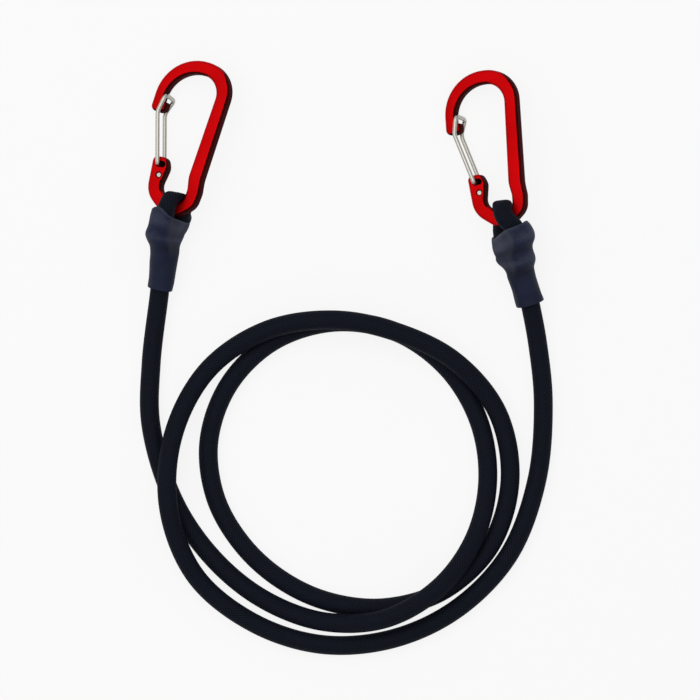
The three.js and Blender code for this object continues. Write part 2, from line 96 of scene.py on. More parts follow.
# the carabiner plate, u towards the spine and v towards the top bow
plate = {
    "top": 72.4, "width": 34.8, "thickness": 6.0, "rounding": 1.2, "spineOuter": 8.1, "spineWidth": 5.8,
    "bowWidth": 6.1, "bowFilling": 1.0, "topOuter": 19.6, "topShoulder": 14.0, "noseWidth": 4.7,
    "noseDrop": 27.7, "hipTop": 20.5, "hipMiddle": 15.0, "hipFoot": 8.0, "hipSwell": 0.9, "hipFootSwell": 0.5,
    "hipHollow": 0.8, "heelInset": 9.9, "heelDepth": 1.2, "heelCrown": 1.9, "armWidth": 5.4,
    "spineArmRise": 3.9, "gateArmRise": 5.7, "lugInset": 8.7, "lugTop": 26.0, "lugWidth": 8.4,
    "lugFootInset": 2.2, "lugFootRise": 9.5, "lugWaist": 0.8, "lugWaistRise": 2.6, "arcSteps": 14,
    "roundSteps": 4, "pocketFloor": -1.6, "hookReach": 2.4, "hookTipRise": 1.2, "lugTilt": 0.6,
    "lugCut": 2.0, "lugBulge": 0.2, "lugShoulder": 4.5, "holeRim": 0.4, "rimGap": 0.15, "leastRim": 0.1,
    "spacing": 2.0, "leastEdge": 0.03,
}
leftOuter = plate["spineOuter"] - plate["width"]
noseInner = leftOuter + plate["noseWidth"]
noseTip = plate["top"] - plate["noseDrop"]
spineInner = plate["spineOuter"] - plate["spineWidth"]
innerTop = plate["top"] - plate["bowWidth"]
lugLeft = leftOuter + plate["lugInset"]
lugRight = lugLeft + plate["lugWidth"]
heelU, heelV = plate["spineOuter"] - plate["heelInset"], -plate["heelDepth"]
gateSlope = plate["gateArmRise"] / (heelU - lugRight)
spineSlope = (plate["hipFoot"] - heelV) / (plate["spineOuter"] + plate["hipFootSwell"] - heelU)
heelRise = plate["armWidth"] / math.cos((math.atan(gateSlope) + math.atan(spineSlope)) / 2)

# the wire gate, its two feet in the bore and the pocket of the lug
gate = {
    "wire": 1.9, "gap": 0.35, "clearance": 0.3, "inset": 0.4, "footEdge": 5.5, "footDrop": 8.5,
    "stagger": 5.0, "room": 13.3, "loopSlant": (1.1, -1.2), "travel": math.radians(22), "sides": 20,
    "footBend": 1.2, "kneeBend": 6.0, "loopBend": 2.2, "bendSteps": 10, "footRoom": 0.3,
    "boreSides": 24, "slotSteps": 6, "slotEndSteps": 10,
}
lowerHole = Vector((lugLeft + gate["footEdge"], plate["lugTop"] - gate["footDrop"]))
gateLean = math.atan((lowerHole.x - noseInner) / (noseTip - lowerHole.y))
loopTop = Vector((noseInner + gate["gap"] + gate["wire"] / 2, innerTop - gate["room"]))
loopBack = loopTop + Vector(gate["loopSlant"])
hookRoom = (loopBack - lowerHole).length - gate["wire"] / 2 - gate["gap"]
hookTop = lowerHole.y + math.sqrt(hookRoom ** 2 - (lowerHole.x - noseInner) ** 2)


def plateMatrix(side):
    end = ends[side]
    turn = Matrix.Rotation(-math.radians(end["leans"]), 4, "Z")
    turn = turn @ Matrix.Rotation(-math.radians(end["dips"]), 4, "X")
    turn = turn @ Matrix.Rotation(-math.radians(end["tips"]), 4, "Y")
    return Matrix.Translation(Vector(end["place"])) @ turn


def smoothStep(value, low, high):
    share = min(max((value - low) / (high - low), 0.0), 1.0)
    return share * share * (3 - 2 * share)


def heelMiddle(u):
    slope = spineSlope if u > heelU else gateSlope
    return heelV + heelRise / 2 + math.hypot(slope * (u - heelU), plate["heelCrown"])


def eyePoints(side):
    end = ends[side]
    clearance = end["slack"] + eyeRadius
    along = heelRise / 2 + clearance
    across = plate["thickness"] / 2 + clearance
    matrix = plateMatrix(side)
    points = []
    for step in range(cord["eyeSteps"] + 1):
        share = step / cord["eyeSteps"]
        angle = math.pi / 2 - share * math.pi
        shift = end["near"] + (end["far"] - end["near"]) * share
        flat = Vector((shift, heelMiddle(shift) + along * math.cos(angle), across * math.sin(angle)))
        points.append(matrix @ flat)
    return points


def legPoints(flat, start, restHeight):
    reach = [math.hypot(x - start.x, y - start.y) for x, y in flat]
    furthest = max(reach)
    return [
        Vector((x, y, start.z + (restHeight - start.z) * smoothStep(distance / furthest, 0, 1)))
        for (x, y), distance in zip(flat, reach)
    ]


def layEnd(side):
    eye = eyePoints(side)
    bandRadius = sleeveRadius + cord["bandRoom"] + cord["bandThickness"]
    standing = legPoints(ends[side]["standing"], eye[0], sleeveRadius + cord["tableGap"])
    tail = legPoints(ends[side]["tail"], eye[-1], bandRadius + cord["tableGap"])[::-1]
    return {"eye": eye, "standing": standing, "tail": tail}


def smoothLine(points, spacing):
    # centripetal Catmull-Rom through the points
    ext = [points[0] * 2 - points[1]] + list(points) + [points[-1] * 2 - points[-2]]
    line = [points[0].copy()]
    for index in range(1, len(ext) - 2):
        p0, p1, p2, p3 = ext[index - 1:index + 3]
        t1 = (p1 - p0).length ** 0.5
        t2 = t1 + (p2 - p1).length ** 0.5
        t3 = t2 + (p3 - p2).length ** 0.5
        steps = max(2, round((p2 - p1).length / spacing))
        for step in range(1, steps + 1):
            t = t1 + (t2 - t1) * step / steps
            a1 = p0 * ((t1 - t) / t1) + p1 * (t / t1)
            a2 = p1 * ((t2 - t) / (t2 - t1)) + p2 * ((t - t1) / (t2 - t1))
            a3 = p2 * ((t3 - t) / (t3 - t2)) + p3 * ((t - t2) / (t3 - t2))
            b1 = a1 * ((t2 - t) / t2) + a2 * (t / t2)
            b2 = a2 * ((t3 - t) / (t3 - t1)) + a3 * ((t - t1) / (t3 - t1))
            line.append(b1 * ((t2 - t) / (t2 - t1)) + b2 * ((t - t1) / (t2 - t1)))
    return line


laid = {side: layEnd(side) for side in ends}
runPoints = [
    Vector((x, y, cordRadius + depth * (cord["diameter"] + cord["layerGap"])))
    for x, y, depth in cord["route"]
]
leftPart = laid["left"]["tail"] + laid["left"]["eye"][::-1] + laid["left"]["standing"][::-1]
rightPart = laid["right"]["standing"] + laid["right"]["eye"] + laid["right"]["tail"][::-1]
wholeCord = smoothLine(leftPart + runPoints + rightPart, cord["ringStep"])
for point in wholeCord:
    point.z = max(point.z, cordRadius)


def nearestIndex(line, target):
    return min(range(len(line)), key=lambda index: (line[index] - target).length_squared)


def walk(line, start, distance, way):
    index = start
    gone = 0.0
    while 0 < index < len(line) - 1 and gone < distance:
        gone += (line[index + way] - line[index]).length
        index += way
    return index


leftMouth = nearestIndex(wholeCord, laid["left"]["standing"][0])
rightMouth = nearestIndex(wholeCord, laid["right"]["standing"][0])
runStart = walk(wholeCord, leftMouth, cord["intoSleeve"], -1)
runEnd = walk(wholeCord, rightMouth, cord["intoSleeve"], 1)
leftEyeLine = wholeCord[:runStart + 1]
runLine = wholeCord[runStart:runEnd + 1]
rightEyeLine = wholeCord[runEnd:]


def lineLength(line):
    return sum((b - a).length for a, b in zip(line, line[1:]))


print("cord laid: %.0f mm free run" % lineLength(runLine))


# materials
def newMaterial(name):
    material = bpy.data.materials.new(name)
    material.use_nodes = True
    tree = material.node_tree
    place = tree.nodes.new("ShaderNodeTexCoord").outputs["Object"]
    return material, tree, place


def feed(tree, sources):
    shader = tree.nodes["Principled BSDF"]
    for name, source in sources.items():
        if isinstance(source, float):
            shader.inputs[name].default_value = source
        else:
            tree.links.new(source, shader.inputs[name])


def addNode(tree, kind, **settings):
    node = tree.nodes.new(kind)
    for key, value in settings.items():
        setattr(node, key, value)
    return node


def mathNode(tree, operation, first, second=None):
    node = addNode(tree, "ShaderNodeMath", operation=operation)
    for socket, value in zip(node.inputs, (first, second)):
        if value is None:
            continue
        if isinstance(value, (int, float)):
            socket.default_value = value
        else:
            tree.links.new(value, socket)
    return node.outputs[0]


def colourRamp(tree, factor, stops):
    ramp = addNode(tree, "ShaderNodeValToRGB")
    elements = ramp.color_ramp.elements
    for index, (position, colour) in enumerate(stops):
        element = elements[index] if index < 2 else elements.new(position)
        element.position = position
        element.color = (*colour, 1)
    tree.links.new(factor, ramp.inputs["Fac"])
    return ramp.outputs["Color"]


def valueRamp(tree, factor, low, high):
    node = addNode(tree, "ShaderNodeMapRange")
    node.inputs["To Min"].default_value = low
    node.inputs["To Max"].default_value = high
    tree.links.new(factor, node.inputs["Value"])
    return node.outputs["Result"]


def bumpNode(tree, height, strength, distance):
    node = addNode(tree, "ShaderNodeBump")
    node.inputs["Strength"].default_value = strength
    node.inputs["Distance"].default_value = distance
    tree.links.new(height, node.inputs["Height"])
    return node.outputs["Normal"]


def noiseNode(tree, place, scale, detail):
    node = addNode(tree, "ShaderNodeTexNoise")
    node.inputs["Scale"].default_value = scale
    node.inputs["Detail"].default_value = detail
    tree.links.new(place, node.inputs["Vector"])
    return node.outputs["Fac"]


def mixNode(tree, kind, factor, first, second):
    node = addNode(tree, "ShaderNodeMix", data_type=kind)
    for name, source in (("Factor", factor), ("A", first), ("B", second)):
        tree.links.new(source, node.inputs[name])
    return node.outputs["Result"]


def weighted(tree, *parts):
    # sum of the sources, each times its share
    total = None
    for source, share in parts:
        part = source if share == 1 else mathNode(tree, "MULTIPLY", source, share)
        total = part if total is None else mathNode(tree, "ADD", total, part)
    return total


braid = {
    "plaits": 20, "pitch": 1.9, "threads": 3, "crownPower": 0.6, "risePower": 0.4, "threadShare": 0.09,
    "heightShare": 0.75, "fuzzShare": 0.35, "fuzz": (900, 3), "rough": (0.78, 0.6), "gloss": 0.06,
    "bump": (0.5, 0.00022),
    "colours": [
        (0.0, (0.0012, 0.0018, 0.0042)), (0.55, (0.0052, 0.0067, 0.0132)), (1.0, (0.011, 0.0132, 0.0225)),
    ],
}


def braidMaterial():
    material, tree, place = newMaterial("blackBraid")
    uv = addNode(tree, "ShaderNodeUVMap", uv_map="braidMap")
    split = addNode(tree, "ShaderNodeSeparateXYZ")
    tree.links.new(uv.outputs["UV"], split.inputs[0])
    around = mathNode(tree, "MULTIPLY", split.outputs["X"], braid["plaits"])
    along = mathNode(tree, "MULTIPLY", split.outputs["Y"], 1 / (braid["pitch"] * mm))
    rightHand = mathNode(tree, "ADD", around, along)
    leftHand = mathNode(tree, "SUBTRACT", around, along)
    heights = []
    for hand, other in ((rightHand, leftHand), (leftHand, rightHand)):
        across, ahead = mathNode(tree, "FRACT", hand), mathNode(tree, "FRACT", other)
        crown = mathNode(tree, "SINE", mathNode(tree, "MULTIPLY", across, math.pi))
        thread = mathNode(tree, "SINE", mathNode(tree, "MULTIPLY", across, 2 * math.pi * braid["threads"]))
        rise = mathNode(tree, "SINE", mathNode(tree, "MULTIPLY", ahead, math.pi))
        crown = mathNode(tree, "POWER", crown, braid["crownPower"])
        rise = mathNode(tree, "POWER", rise, braid["risePower"])
        body = mathNode(tree, "MULTIPLY", crown, rise)
        heights.append(weighted(tree, (body, 1), (thread, braid["threadShare"])))
    cells = mathNode(tree, "ADD", mathNode(tree, "FLOOR", rightHand), mathNode(tree, "FLOOR", leftHand))
    over = mathNode(tree, "PINGPONG", cells, 1)
    height = mixNode(tree, "FLOAT", over, *heights)
    fuzz = noiseNode(tree, place, *braid["fuzz"])
    tone = weighted(tree, (height, braid["heightShare"]), (fuzz, braid["fuzzShare"]))
    feed(tree, {
        "Base Color": colourRamp(tree, tone, braid["colours"]),
        "Roughness": valueRamp(tree, tone, *braid["rough"]),
        "Specular IOR Level": braid["gloss"],
        "Normal": bumpNode(tree, tone, *braid["bump"]),
    })
    return material


# red anodising: bright faces, and painted shade on the walls, bevels and pocket floor where the "wall"
# attribute says so
anodised = {
    "grain": (2600, 2), "cloud": (60, 3), "metal": (0.85, 0.4), "rough": (0.42, 0.5), "wallRough": 0.3,
    "gloss": (0.12, 0.02), "bump": (0.06, 0.00003),
    "face": [(0.3, (0.42, 0.0004, 0.0012)), (0.7, (0.52, 0.0008, 0.002))],
    "wall": [(0.3, (0.042, 0.0004, 0.0012)), (0.7, (0.062, 0.0006, 0.0018))],
}


def redMaterial():
    material, tree, place = newMaterial("redAnodised")
    wall = addNode(tree, "ShaderNodeAttribute", attribute_name="wall").outputs["Fac"]
    grain = noiseNode(tree, place, *anodised["grain"])
    cloud = noiseNode(tree, place, *anodised["cloud"])
    face = colourRamp(tree, cloud, anodised["face"])
    # painted shade: the dark colour laid on the walls, bevels and pocket floor
    edge = colourRamp(tree, cloud, anodised["wall"])
    rough = valueRamp(tree, grain, *anodised["rough"])
    feed(tree, {
        "Base Color": mixNode(tree, "RGBA", wall, face, edge),
        "Metallic": valueRamp(tree, wall, *anodised["metal"]),
        "Roughness": weighted(tree, (rough, 1), (wall, anodised["wallRough"])),
        "Specular IOR Level": valueRamp(tree, wall, *anodised["gloss"]),
        "Normal": bumpNode(tree, grain, *anodised["bump"]),
    })
    return material


# charcoal shrink tube, with painted light and shade from the "tone" attribute: paler where it says so
shrink = {
    "skin": (1100, 4), "cloud": (110, 3), "cloudShare": 0.7, "skinShare": 0.3, "paintedLightShare": 0.4,
    "rough": (0.5, 0.72), "gloss": 0.2, "bump": (0.3, 0.0003),
    "colours": [
        (0.3, (0.0022, 0.0042, 0.0165)), (0.65, (0.0092, 0.0132, 0.039)), (1.0, (0.046, 0.053, 0.088)),
    ],
}


def shrinkMaterial():
    material, tree, place = newMaterial("charcoalShrink")
    lit = addNode(tree, "ShaderNodeAttribute", attribute_name="tone").outputs["Fac"]
    skin = noiseNode(tree, place, *shrink["skin"])
    cloud = noiseNode(tree, place, *shrink["cloud"])
    tone = weighted(
        tree, (cloud, shrink["cloudShare"]), (skin, shrink["skinShare"]), (lit, shrink["paintedLightShare"]),
    )
    feed(tree, {
        "Base Color": colourRamp(tree, tone, shrink["colours"]),
        "Roughness": valueRamp(tree, skin, *shrink["rough"]),
        "Specular IOR Level": shrink["gloss"],
        "Normal": bumpNode(tree, tone, *shrink["bump"]),
    })
    return material


# finishes that one fine noise colours and roughens
finishes = {
    "drawnWire": {
        "grain": (5200, 2), "rough": (0.26, 0.36), "metal": 1.0, "bump": (0.03, 0.00003),
        "colours": [(0.3, (0.42, 0.41, 0.37)), (0.7, (0.48, 0.47, 0.42))],
    },
    "paleLatex": {
        "grain": (500, 3), "rough": (0.7, 0.9), "metal": 0.0, "bump": None,
        "colours": [(0.3, (0.52, 0.45, 0.3)), (0.7, (0.66, 0.6, 0.44))],
    },
    "bandSteel": {
        "grain": (1800, 3), "rough": (0.3, 0.5), "metal": 1.0, "bump": None,
        "colours": [(0.3, (0.3, 0.3, 0.3)), (0.7, (0.5, 0.5, 0.5))],
    },
}


def grainMaterial(name):
    finish = finishes[name]
    material, tree, place = newMaterial(name)
    grain = noiseNode(tree, place, *finish["grain"])
    feed(tree, {
        "Base Color": colourRamp(tree, grain, finish["colours"]),
        "Roughness": valueRamp(tree, grain, *finish["rough"]),
        "Metallic": finish["metal"],
    })
    if finish["bump"]:
        feed(tree, {"Normal": bumpNode(tree, grain, *finish["bump"])})
    return material


blackBraid = braidMaterial()
redAnodised = redMaterial()
charcoalShrink = shrinkMaterial()
drawnWire = grainMaterial("drawnWire")
paleLatex = grainMaterial("paleLatex")
bandSteel = grainMaterial("bandSteel")
print("materials made")


# a round tube along a line, with a map of its length and girth for the braid
tubeForm = {
    "seamStep": 0.25,
    "sockets": [
        ("Line", "INPUT", "NodeSocketGeometry"), ("Radius", "INPUT", "NodeSocketFloat"),
        ("Sides", "INPUT", "NodeSocketInt"), ("Tube", "OUTPUT", "NodeSocketGeometry"),
    ],
}


def captured(tree, curve, label, field):
    keep = tree.nodes.new("GeometryNodeCaptureAttribute")
    keep.capture_items.new("FLOAT", label)
    tree.links.new(curve, keep.inputs["Geometry"])
    tree.links.new(tree.nodes.new("GeometryNodeSplineParameter").outputs[field], keep.inputs[label])
    return keep.outputs["Geometry"], keep.outputs[label]


def tubeTree(name, material):
    tree = bpy.data.node_groups.new(name, "GeometryNodeTree")
    for label, way, kind in tubeForm["sockets"]:
        tree.interface.new_socket(label, in_out=way, socket_type=kind)
    link = tree.links.new
    given = tree.nodes.new("NodeGroupInput")
    result = tree.nodes.new("NodeGroupOutput")
    curve = tree.nodes.new("GeometryNodeMeshToCurve")
    link(given.outputs["Line"], curve.inputs["Mesh"])
    girth = tree.nodes.new("GeometryNodeInputNamedAttribute")
    girth.inputs["Name"].default_value = "girth"
    line = tree.nodes.new("GeometryNodeSetCurveRadius")
    link(curve.outputs["Curve"], line.inputs["Curve"])
    link(girth.outputs["Attribute"], line.inputs["Radius"])
    path, along = captured(tree, line.outputs["Curve"], "along", "Length")
    circle = tree.nodes.new("GeometryNodeCurvePrimitiveCircle")
    link(given.outputs["Sides"], circle.inputs["Resolution"])
    link(given.outputs["Radius"], circle.inputs["Radius"])
    section, around = captured(tree, circle.outputs["Curve"], "around", "Factor")
    tube = tree.nodes.new("GeometryNodeCurveToMesh")
    tube.inputs["Fill Caps"].default_value = True
    link(path, tube.inputs["Curve"])
    link(section, tube.inputs["Profile Curve"])
    # on the closing strip of quads the girth runs back to nought, so one whole turn is added there
    middle = addNode(tree, "GeometryNodeFieldOnDomain", domain="FACE")
    link(around, middle.inputs["Value"])
    behind = mathNode(tree, "SUBTRACT", middle.outputs["Value"], around)
    closing = mathNode(tree, "GREATER_THAN", behind, tubeForm["seamStep"])
    pair = tree.nodes.new("ShaderNodeCombineXYZ")
    link(mathNode(tree, "ADD", around, closing), pair.inputs["X"])
    link(along, pair.inputs["Y"])
    store = addNode(tree, "GeometryNodeStoreNamedAttribute", data_type="FLOAT2", domain="CORNER")
    store.inputs["Name"].default_value = "braidMap"
    link(tube.outputs["Mesh"], store.inputs["Geometry"])
    link(pair.outputs["Vector"], store.inputs["Value"])
    made = store.outputs["Geometry"]
    for kind in ("GeometryNodeSetShadeSmooth", "GeometryNodeRealizeInstances", "GeometryNodeSetMaterial"):
        step = tree.nodes.new(kind)
        link(made, step.inputs["Geometry"])
        made = step.outputs["Geometry"]
    step.inputs["Material"].default_value = material
    link(made, result.inputs["Tube"])
    return tree


def socketId(tree, name):
    for item in tree.interface.items_tree:
        if item.in_out == "INPUT" and item.name == name:
            return item.identifier
    return None


def tubePiece(name, line, girths, tree, radius, sides):
    mesh = bpy.data.meshes.new(name + "Line")
    mesh.from_pydata([tuple(point * mm) for point in line], [(i, i + 1) for i in range(len(line) - 1)], [])
    girth = mesh.attributes.new("girth", "FLOAT", "POINT")
    for index, value in enumerate(girths):
        girth.data[index].value = value
    holder = bpy.data.objects.new(name + "Line", mesh)
    bpy.context.scene.collection.objects.link(holder)
    modifier = holder.modifiers.new("tube", "NODES")
    modifier.node_group = tree
    modifier[socketId(tree, "Radius")] = radius * mm
    modifier[socketId(tree, "Sides")] = sides
    depsgraph = bpy.context.evaluated_depsgraph_get()
    made = bpy.data.meshes.new_from_object(holder.evaluated_get(depsgraph), depsgraph=depsgraph)
    made.name = name
    holder.modifiers.remove(modifier)
    bpy.data.objects.remove(holder)
    piece = bpy.data.objects.new(name, made)
    bpy.context.scene.collection.objects.link(piece)
    return piece


braidTube = tubeTree("braidTube", blackBraid)
wireTube = tubeTree("wireTube", drawnWire)

heels = {side: (laid[side]["eye"][0] + laid[side]["eye"][-1]) / 2 for side in ends}


def girthsAlong(line, eyeShare):
    # whole on the free run, and eyeShare of that in the eyes
    girths = []
    for point in line:
        away = min((point - heel).length for heel in heels.values())
        girths.append(1 - (1 - eyeShare) * (1 - smoothStep(away, cord["neckStart"], cord["neckEnd"])))
    return girths


def cordPiece(name, line):
    girths = girthsAlong(line, eyeRadius / cordRadius)
    return tubePiece(name, line, girths, braidTube, cordRadius, cord["sides"])


# the eye pulls down on the bar, so its arch is pressed flat, with room left for the bar to turn in it
pressed = {
    "beyond": 1.0, "within": 16.0,
    "left": {"seat": 4.3, "flatness": 0.5},
    "right": {"seat": 4.9, "flatness": 0.54},
}


def pressEye(piece, side):
    matrix = Matrix.Scale(mm, 4) @ plateMatrix(side)
    back = matrix.inverted()
    inside = heelRise / 2 + ends[side]["slack"]
    press = pressed[side]
    for vertex in piece.data.vertices:
        u, v, w = back @ vertex.co
        rise = v - heelMiddle(u)
        reach = math.hypot(rise, w)
        if rise <= 0 or not pressed["beyond"] < reach < pressed["within"]:
            continue
        share = (rise / reach) ** 2
        tight = press["seat"] + (reach - inside) * press["flatness"]
        factor = 1 + (tight / reach - 1) * share
        vertex.co = matrix @ Vector((u, heelMiddle(u) + rise * factor, w))


freeRun = cordPiece("cord_free_run", runLine)
leftEye = cordPiece("cord_left_eye", leftEyeLine)
rightEye = cordPiece("cord_right_eye", rightEyeLine)
pressEye(leftEye, "left")
pressEye(rightEye, "right")
for piece in (freeRun, leftEye, rightEye):
    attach(piece, "cord")
    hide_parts("braided_sheath")
print("cord made:", len(freeRun.data.polygons), "faces")

# the strands of the core, hidden in the sheath
strand = {"offset": 1.25, "radius": 1.05, "sides": 8, "eyeShare": 0.45}
latexTube = tubeTree("latexTube", paleLatex)


def sideLines(line, girths):
    across = Vector((0, 0, 1)).cross(line[1] - line[0]).normalized()
    lines = [[], [], [], []]
    for index, point in enumerate(line):
        ahead = (line[min(index + 1, len(line) - 1)] - line[max(index - 1, 0)]).normalized()
        across = (across - ahead * across.dot(ahead)).normalized()
        up = ahead.cross(across)
        reach = strand["offset"] * girths[index]
        for number, (a, b) in enumerate(((-1, -1), (-1, 1), (1, -1), (1, 1))):
            lines[number].append(point + across * (a * reach) + up * (b * reach))
    return lines


strandGirths = girthsAlong(wholeCord, strand["eyeShare"])
threads = []
for number, line in enumerate(sideLines(wholeCord, strandGirths), 1):
    name = "core_thread_%d" % number
    piece = tubePiece(name, line, strandGirths, latexTube, strand["radius"], strand["sides"])
    pressEye(piece, "left")
    pressEye(piece, "right")
    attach(piece, "cord")
    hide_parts("core_strand_%d" % number)
    threads.append(piece)
print("strands made")


# carabiner bodies
def roundedOutline(corners, steps):
    count = len(corners)
    points = [Vector(corner[:2]) for corner in corners]
    edges = [points[(index + 1) % count] - points[index] for index in range(count)]
    turns = [math.atan2(a.x * b.y - a.y * b.x, a.dot(b)) for a, b in zip(edges[-1:] + edges[:-1], edges)]
    setbacks = [corner[2] * math.tan(abs(turn) / 2) for corner, turn in zip(corners, turns)]
    taken = [setbacks[index] + setbacks[(index + 1) % count] for index in range(count)]
    rooms = [edge.length / needed for edge, needed in zip(edges, taken)]
    outline = []
    for index, corner in enumerate(points):
        fit = min(1, rooms[index - 1], rooms[index])
        radius, turn = corners[index][2] * fit, turns[index]
        arriving = edges[index - 1].normalized()
        start = corner - arriving * setbacks[index] * fit
        centre = start + Vector((-arriving.y, arriving.x)) * math.copysign(radius, turn)
        begin = math.atan2(start.y - centre.y, start.x - centre.x)
        arc = max(2, round(steps * abs(turn) / (math.pi / 2)))
        for step in range(arc + 1):
            angle = begin + turn * step / arc
            outline.append(centre + Vector((math.cos(angle), math.sin(angle))) * radius)
    return outline


# corner radii of the outline that no other size gives
rounds = {
    "hookRoot": 0.6, "hookTip": 1.3, "nose": 2.4, "hipTop": 12.0, "hipMiddle": 6.0, "hipFoot": 7.5,
    "heel": 9.5, "lugFoot": 11.0, "lugTop": 2.3, "lugShoulder": 4.0, "lugWaist": 6.0, "armRoot": 5.0,
    "heelInside": 5.0, "spineFoot": 4.0,
}


def bodyOutline():
    p, r = plate, rounds
    spineOuter, heelTop = p["spineOuter"], heelV + heelRise
    armTop = heelTop + p["gateArmRise"]
    inset = p["bowWidth"] - p["bowFilling"]
    hookEdge, spineFoot = noseInner + p["hookReach"], spineInner + p["hipFootSwell"]
    return roundedOutline([
        (noseInner, hookTop, r["hookRoot"]),
        (hookEdge, hookTop, r["hookTip"]),
        (hookEdge, noseTip + p["hookTipRise"], r["hookTip"]),
        (noseInner, noseTip, r["nose"]),
        (leftOuter, noseTip, r["nose"]),
        (leftOuter, p["top"], p["topOuter"]),
        (spineOuter, p["top"], p["topShoulder"]),
        (spineOuter, p["hipTop"], r["hipTop"]),
        (spineOuter + p["hipSwell"], p["hipMiddle"], r["hipMiddle"]),
        (spineOuter + p["hipFootSwell"], p["hipFoot"], r["hipFoot"]),
        (heelU, heelV, r["heel"]),
        (lugLeft + p["lugFootInset"], heelV + p["lugFootRise"], r["lugFoot"]),
        (lugLeft, p["lugTop"] - p["lugTilt"], r["lugTop"]),
        (lugRight - p["lugCut"], p["lugTop"], r["lugTop"]),
        (lugRight + p["lugBulge"], p["lugTop"] - p["lugShoulder"], r["lugShoulder"]),
        (lugRight - p["lugWaist"], armTop + p["lugWaistRise"], r["lugWaist"]),
        (lugRight, armTop, r["armRoot"]),
        (heelU, heelTop, r["heelInside"]),
        (spineFoot, heelTop + p["spineArmRise"], r["spineFoot"]),
        (spineFoot, p["hipMiddle"], r["hipMiddle"]),
        (spineInner - p["hipHollow"], p["hipTop"], r["hipTop"]),
        (spineInner, innerTop, p["topShoulder"] - inset),
        (noseInner, innerTop, p["topOuter"] - inset),
    ], p["arcSteps"])


def arcPoints(centre, size, begin, end, count):
    angles = [begin + (end - begin) * step / count for step in range(count + 1)]
    return [centre + Vector((math.cos(angle), math.sin(angle))) * size for angle in angles]


def holeOutlines():
    # a bore for the lower foot of the gate, and a slot on an arc round it for the upper one
    radius = gate["wire"] / 2 + gate["clearance"]
    low, reach = lowerHole, gate["stagger"]
    sideSteps, capSteps = gate["slotSteps"], gate["slotEndSteps"]
    closed = math.pi / 2 + gateLean
    opened = closed - gate["travel"]
    bore = arcPoints(low, radius, 0, 2 * math.pi, gate["boreSides"])[:-1]
    upper = low + Vector((math.cos(closed), math.sin(closed))) * reach
    other = low + Vector((math.cos(opened), math.sin(opened))) * reach
    slot = arcPoints(low, reach + radius, opened, closed, sideSteps)
    slot += arcPoints(upper, radius, closed, closed + math.pi, capSteps)[1:]
    slot += arcPoints(low, reach - radius, closed, opened, sideSteps)[1:]
    slot += arcPoints(other, radius, opened + math.pi, opened + 2 * math.pi, capSteps)[1:-1]
    return [bore, slot]


def tidyLoop(points, clockwise):
    loop = []
    for point in points:
        if not loop or (point - loop[-1]).length > plate["leastEdge"]:
            loop.append(point)
    if (loop[0] - loop[-1]).length <= plate["leastEdge"]:
        loop.pop()
    area = sum(p.x * q.y - q.x * p.y for p, q in zip(loop, loop[1:] + loop[:1]))
    return loop[::-1] if (area < 0) != clockwise else loop


def fineLoop(loop, spacing):
    fine = []
    for point, after in zip(loop, loop[1:] + loop[:1]):
        count = max(1, math.ceil((after - point).length / spacing))
        fine += [point.lerp(after, step / count) for step in range(count)]
    return fine


def rimShares(loop, holes):
    shares = []
    for point in loop:
        nearest = min((point - edge).length for hole in holes for edge in hole)
        room = nearest - plate["holeRim"] - plate["rimGap"]
        shares.append(min(max(room / plate["rounding"], plate["leastRim"]), 1.0))
    return shares


def inwardNormals(loop):
    normals = []
    for index, point in enumerate(loop):
        before = (point - loop[index - 1]).normalized()
        after = (loop[(index + 1) % len(loop)] - point).normalized()
        way = (before + after).normalized()
        normals.append(Vector((-way.y, way.x)))
    return normals


# how the painted shade on the walls and bevels grows: from which slope and to which, on the lit side, and
# less of both on the shaded side
wallShade = {
    "side": (0.85, -0.53), "turnFrom": -0.1, "turnFull": 0.4, "flat": 0.01, "start": 0.55, "full": 0.9,
    "startLess": 0.51, "fullLess": 0.74, "faceWeight": 90,
}


def paintedWallShade(normal):
    shade = wallShade
    steep, shaded = 1 - abs(normal.z), 0.0
    if steep >= shade["flat"]:
        facing = normal.xy.normalized().dot(Vector(shade["side"]))
        shaded = smoothStep(facing, shade["turnFrom"], shade["turnFull"])
    start = shade["start"] - shade["startLess"] * shaded
    full = shade["full"] - shade["fullLess"] * shaded
    return smoothStep(steep, start, full)


